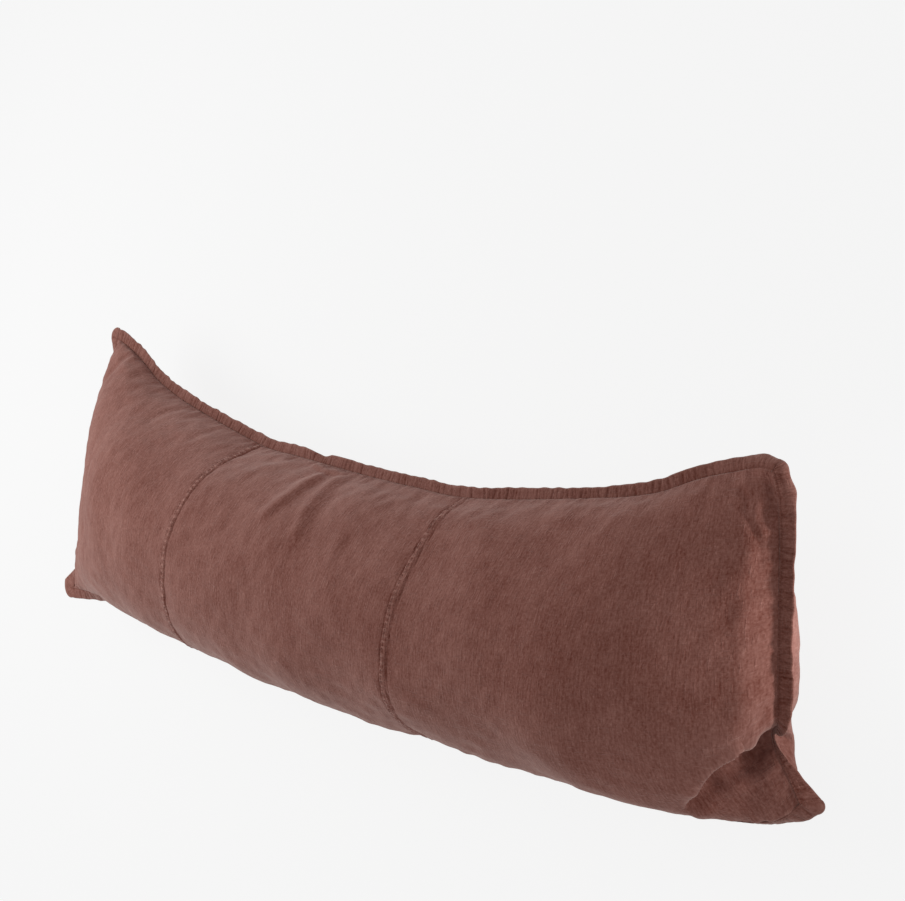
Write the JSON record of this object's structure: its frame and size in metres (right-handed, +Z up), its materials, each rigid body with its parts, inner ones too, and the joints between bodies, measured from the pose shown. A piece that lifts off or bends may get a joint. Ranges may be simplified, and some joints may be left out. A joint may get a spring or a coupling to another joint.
{
  "type": "long lumbar cushion",
  "caption": "Long soft lumbar cushion in washed linen, with felled seams between square panels and a stitched flange round its edge.",
  "frame": {"origin": "on the surface, under the middle of the bounding box, with the cushion lying on its back", "axes": "+X along the cushion towards the end with the folded corner, +Y from the lower edge to the upper edge, +Z up out of the face"},
  "size_m": [1.2426, 0.4189, 0.2389],
  "materials": {
    "linen": "stone-washed matt linen, brown rose, with pale slubs",
    "flange_linen": "the same linen doubled and top-stitched, puckered along its edge"
  },
  "bodies": {
    "root": {"filled_body": "linen", "flange_upper": "flange_linen", "flange_right": "flange_linen", "flange_lower": "flange_linen", "flange_left": "flange_linen"}
  },
  "joints": []
}
